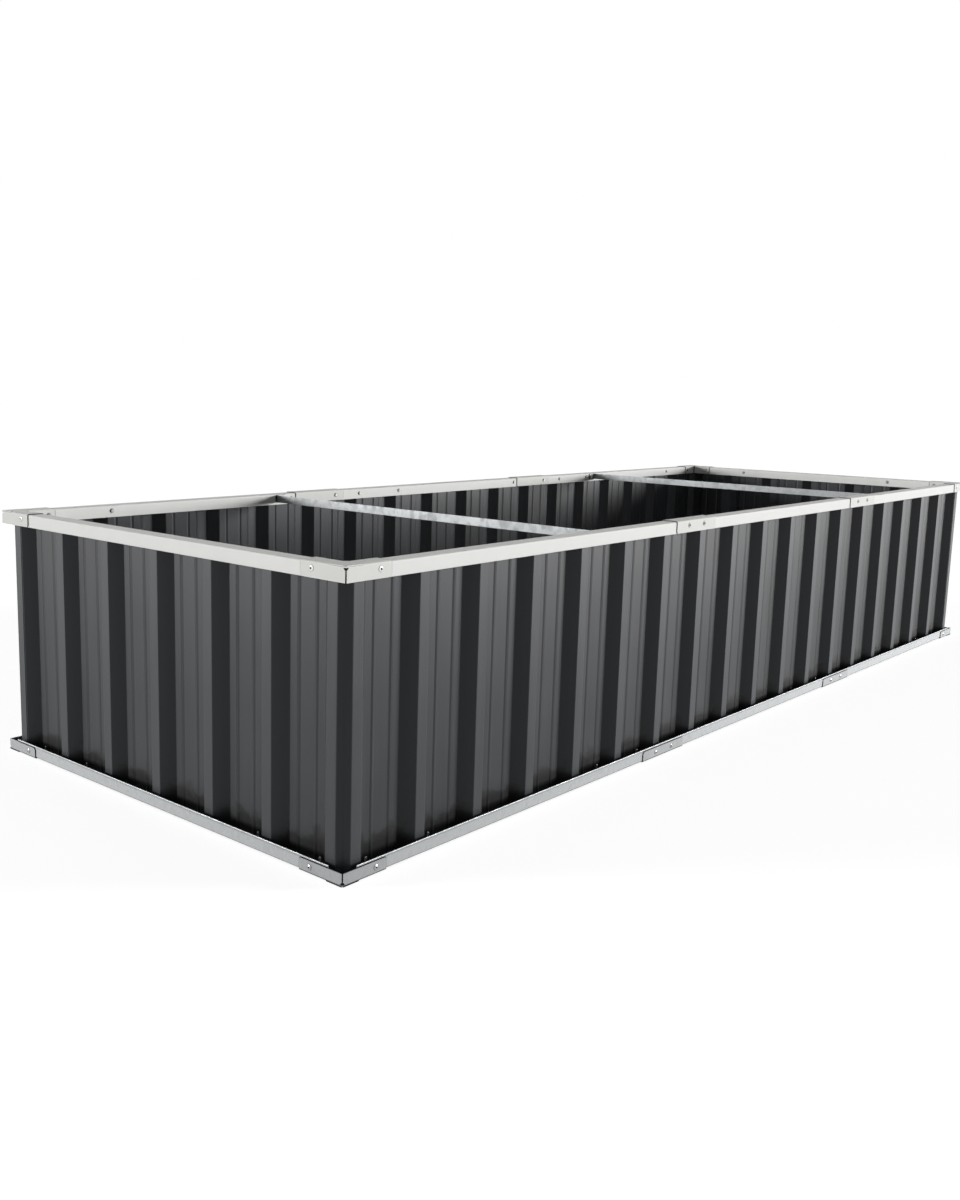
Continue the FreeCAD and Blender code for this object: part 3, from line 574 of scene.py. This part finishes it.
def zinc(name, colour, settings):
    """Hot-dip galvanised steel: dull, silvery, with a faint pattern of zinc crystals."""
    # Zinc sets in flat crystals that turn the light a little differently, and dulls with age. The
    # eye sees soft patches a few millimetres across, here and there a paler bloom. Painted shade
    # darkens the narrow gaps between the pieces.
    material, tree, place = new_material(name)
    cells = add_node(
        tree,
        "ShaderNodeTexVoronoi",
        values={"Scale": 1 / settings.spangle},
        links={"Vector": place},
    )
    crystal = add_node(tree, "ShaderNodeSeparateColor", links={"Color": cells.outputs["Color"]})
    bloom = add_node(
        tree,
        "ShaderNodeTexNoise",
        values={"Scale": 1 / ZINC_BLOOM, "Detail": 4.0, "Roughness": 0.6},
        links={"Vector": place},
    )
    tone = add_node(
        tree,
        "ShaderNodeMix",
        {"data_type": "FLOAT"},
        {0: BLOOM_SHARE},
        {2: crystal.outputs["Red"], 3: bloom.outputs["Fac"]},
    )
    spread = add_node(
        tree,
        "ShaderNodeMapRange",
        values=ZINC_RANGE,
        links={"Value": tone.outputs[0]},
    )
    mixed = add_node(
        tree,
        "ShaderNodeMix",
        {"data_type": "RGBA"},
        {6: scaled(colour, ZINC_TONES[0]), 7: scaled(colour, ZINC_TONES[1])},
        {0: spread.outputs[0]},
    )
    sheen = add_node(
        tree,
        "ShaderNodeMapRange",
        values=around(settings.roughness, ZINC_SHEEN),
        links={"Value": spread.outputs[0]},
    )
    relief = add_node(
        tree,
        "ShaderNodeBump",
        values=ZINC_RELIEF,
        links={"Height": crystal.outputs["Red"]},
    )
    finish_material(
        tree,
        {"Metallic": settings.metal},
        {
            "Base Color": add_gap_shade(
                tree, mixed.outputs[2], tuple(settings.gap_shade), GAP_REACH, GAP_COVER
            ),
            "Roughness": sheen.outputs[0],
            "Normal": relief.outputs["Normal"],
        },
    )
    return material


def plating(name, colour, settings):
    """Zinc-plated steel, cold-headed: bright, with fine scuffs from tumbling and driving."""
    # Plating is thin and follows the forged surface. The eye sees small clean highlights with
    # fine scuffs in them. Painted shade darkens the hollow where the driver goes in.
    material, tree, place = new_material(name)
    scuffs = add_node(
        tree,
        "ShaderNodeTexNoise",
        values={"Scale": 1 / PLATING_SCUFFS, "Detail": 3.0},
        links={"Vector": place},
    )
    spread = add_node(
        tree,
        "ShaderNodeMapRange",
        values=NOISE_RANGE,
        links={"Value": scuffs.outputs["Fac"]},
    )
    tone = add_node(
        tree,
        "ShaderNodeMix",
        {"data_type": "RGBA"},
        {6: scaled(colour, PLATING_TONES[0]), 7: scaled(colour, PLATING_TONES[1])},
        {0: spread.outputs[0]},
    )
    sheen = add_node(
        tree,
        "ShaderNodeMapRange",
        values=around(settings.roughness, PLATING_SHEEN),
        links={"Value": spread.outputs[0]},
    )
    relief = add_node(
        tree,
        "ShaderNodeBump",
        values=PLATING_RELIEF,
        links={"Height": scuffs.outputs["Fac"]},
    )
    finish_material(
        tree,
        {"Metallic": settings.metal},
        {
            "Base Color": add_gap_shade(
                tree,
                tone.outputs[2],
                tuple(settings.gap_shade),
                GAP_REACH,
                RECESS_COVER,
                PLATED_RECESS_SHARE,
            ),
            "Roughness": sheen.outputs[0],
            "Normal": relief.outputs["Normal"],
        },
    )
    return material


# ---------------------------------------------------------------------------------------------
# Operators
# ---------------------------------------------------------------------------------------------


class FinishSheets(bpy.types.Operator):
    """Coats the corrugated panels and the corner posts"""

    bl_idname = "gardenbed.finish_sheets"
    bl_label = "Panels and Posts"

    def execute(self, context):
        sheets = [name for name in named("panel") if "rivets" not in name]
        dress(sheets + named("_post"), coated_sheet(context.scene.bed_sheets))
        return {"FINISHED"}


class FinishTopRails(bpy.types.Operator):
    """Powder-coats the top rails, their brackets and splices, and the splices' screws"""

    bl_idname = "gardenbed.finish_top_rails"
    bl_label = "Top Rails"

    def execute(self, context):
        settings = context.scene.bed_top_rails
        rail = powder_coat("Powder coated steel rail", tuple(settings.rail), settings)
        joint = powder_coat("Powder coated steel joint", tuple(settings.joint), settings)
        screw = powder_coat(
            "Powder coated screw steel", tuple(settings.joint), settings, COATED_RECESS_SHARE
        )
        dress(named("_top_rail"), rail)
        dress(named("_top_splice_", "_top_bracket"), joint)
        dress(named("top_splice_screws"), screw)
        return {"FINISHED"}


class FinishBottomRails(bpy.types.Operator):
    """Galvanises the bottom rails, their brackets and splices, and the cross ties"""

    bl_idname = "gardenbed.finish_bottom_rails"
    bl_label = "Bottom Rails and Ties"

    def execute(self, context):
        settings = context.scene.bed_bottom_rails
        rail = zinc("Galvanised steel rail", tuple(settings.rail), settings)
        joint = zinc("Galvanised steel joint", tuple(settings.joint), settings)
        tie = zinc("Galvanised steel tie", tuple(settings.tie), settings)
        dress(named("_bottom_rail"), rail)
        dress(named("_bottom_splice_", "_bottom_bracket"), joint)
        dress(named("cross_tie"), tie)
        return {"FINISHED"}


class FinishFasteners(bpy.types.Operator):
    """Plates the nuts, the rivets and the screws that aren't coated"""

    bl_idname = "gardenbed.finish_fasteners"
    bl_label = "Screws, Nuts and Rivets"

    def execute(self, context):
        settings = context.scene.bed_fasteners
        plated = named("bottom_corner_screws", "bottom_splice_screws", "tie_screws", "nuts")
        dress(plated, plating("Zinc plated steel", tuple(settings.zinc), settings))
        bright = plating("Bright zinc plated steel", tuple(settings.bright), settings)
        dress(named("top_corner_screws"), bright)
        dress(named("rivets"), plating("Zinc plated rivet steel", tuple(settings.rivet), settings))
        return {"FINISHED"}


def add_lamp(name, place, spread, strength):
    """A soft, far lamp that shines from its place towards the bed."""
    lamp_data = bpy.data.lights.new(name, "SUN")
    lamp_data.angle = math.radians(spread)
    lamp_data.energy = strength
    lamp = bpy.data.objects.new(name, lamp_data)
    bpy.context.scene.collection.objects.link(lamp)
    lamp.location = place
    lamp.rotation_mode = "QUATERNION"
    lamp.rotation_quaternion = (-lamp.location).to_track_quat("-Z", "Y")


def background_share(tree):
    """1 for the rays that show the background: to the camera, and by way of metal or glass."""
    path = add_node(tree, "ShaderNodeLightPath")
    seen = path.outputs["Is Camera Ray"]
    for ray in ("Is Glossy Ray", "Is Transmission Ray"):
        both = add_node(
            tree, "ShaderNodeMath", {"operation": "MAXIMUM"}, links={0: seen, 1: path.outputs[ray]}
        )
        seen = both.outputs[0]
    return seen


class SetStage(bpy.types.Operator):
    """Lays the floor and sets up the lamps, the world and the camera"""

    bl_idname = "gardenbed.set_stage"
    bl_label = "Stage"

    def execute(self, context):
        settings = context.scene.bed_stage
        self.lay_floor()
        self.light_world(context.scene, settings)
        for name, place, spread, strength in LAMPS:
            add_lamp(name, place, spread, getattr(settings, strength))
        self.place_camera(context.scene, settings)
        context.scene.view_settings.view_transform = "Standard"
        return {"FINISHED"}

    def lay_floor(self):
        """A grey floor that keeps the bed's shadow and shows as white."""
        mesh = bpy.data.meshes.new("Floor")
        shape = bmesh.new()
        bmesh.ops.create_grid(shape, x_segments=1, y_segments=1, size=FLOOR_HALF)
        bmesh.ops.translate(shape, verts=shape.verts, vec=(0, 0, -FLOOR_DROP))
        shape.to_mesh(mesh)
        shape.free()
        floor = bpy.data.objects.new("Floor", mesh)
        bpy.context.scene.collection.objects.link(floor)
        material, tree, _ = new_material("White studio floor")
        paint = add_node(tree, "ShaderNodeBsdfDiffuse", values={"Color": grey(FLOOR_GREY)})
        share = add_node(
            tree,
            "ShaderNodeMath",
            {"operation": "MULTIPLY"},
            {1: FLOOR_GLOW},
            {0: background_share(tree)},
        )
        glow = add_node(tree, "ShaderNodeEmission", links={"Strength": share.outputs[0]})
        both = add_node(
            tree, "ShaderNodeAddShader", links={0: paint.outputs[0], 1: glow.outputs[0]}
        )
        add_node(tree, "ShaderNodeOutputMaterial", links={"Surface": both.outputs[0]})
        mesh.materials.append(material)

    def light_world(self, scene, settings):
        """A white background that lights the bed only softly."""
        world = bpy.data.worlds.new("White studio")
        scene.world = world
        world.use_nodes = True
        tree = world.node_tree
        tree.nodes.clear()
        strength = add_node(
            tree,
            "ShaderNodeMapRange",
            values={"To Min": settings.ambient, "To Max": 1.0},
            links={"Value": background_share(tree)},
        )
        back = add_node(
            tree,
            "ShaderNodeBackground",
            values={"Color": grey(1.0)},
            links={"Strength": strength.outputs[0]},
        )
        add_node(tree, "ShaderNodeOutputWorld", links={"Surface": back.outputs[0]})

    def place_camera(self, scene, settings):
        """The camera, which looks along its heading before it dips and leans."""
        camera_data = bpy.data.cameras.new("Camera")
        camera_data.sensor_width = SENSOR_WIDTH
        camera_data.lens = settings.lens
        camera_data.shift_x, camera_data.shift_y = settings.shift
        camera_data.clip_end = FAR_CLIP
        camera = bpy.data.objects.new("Camera", camera_data)
        scene.collection.objects.link(camera)
        turn = Matrix.Rotation(settings.heading - math.pi / 2, 4, "Z")
        turn @= Matrix.Rotation(math.pi / 2 - settings.dip, 4, "X")
        turn @= Matrix.Rotation(settings.roll, 4, "Z")
        camera.matrix_world = Matrix.Translation(settings.camera_place) @ turn
        scene.camera = camera


# ---------------------------------------------------------------------------------------------
# Panel and registration
# ---------------------------------------------------------------------------------------------

STEPS = (FinishSheets, FinishTopRails, FinishBottomRails, FinishFasteners, SetStage)

SETTINGS = (
    (SheetSettings, "bed_sheets"),
    (TopRailSettings, "bed_top_rails"),
    (BottomRailSettings, "bed_bottom_rails"),
    (FastenerSettings, "bed_fasteners"),
    (StageSettings, "bed_stage"),
)


class GARDENBED_PT_sidebar(bpy.types.Panel):
    """Lists the steps that finish the bed, each with its sizes and colours"""

    bl_idname = "GARDENBED_PT_sidebar"
    bl_label = "Garden Bed"
    bl_space_type = "VIEW_3D"
    bl_region_type = "UI"
    bl_category = "Garden Bed"

    def draw(self, context):
        for step, (group, scene_name) in zip(STEPS, SETTINGS):
            box = self.layout.box()
            settings = getattr(context.scene, scene_name)
            for key in group.__annotations__:
                box.prop(settings, key)
            box.operator(step.bl_idname)


def register():
    for group, scene_name in SETTINGS:
        bpy.utils.register_class(group)
        setattr(bpy.types.Scene, scene_name, bpy.props.PointerProperty(type=group))
    for step in STEPS:
        bpy.utils.register_class(step)
    bpy.utils.register_class(GARDENBED_PT_sidebar)


def unregister():
    bpy.utils.unregister_class(GARDENBED_PT_sidebar)
    for step in reversed(STEPS):
        bpy.utils.unregister_class(step)
    for group, scene_name in reversed(SETTINGS):
        delattr(bpy.types.Scene, scene_name)
        bpy.utils.unregister_class(group)


def main():
    register()
    bpy.ops.gardenbed.finish_sheets()
    bpy.ops.gardenbed.finish_top_rails()
    bpy.ops.gardenbed.finish_bottom_rails()
    bpy.ops.gardenbed.finish_fasteners()
    bpy.ops.gardenbed.set_stage()


if __name__ == "__main__":
    main()
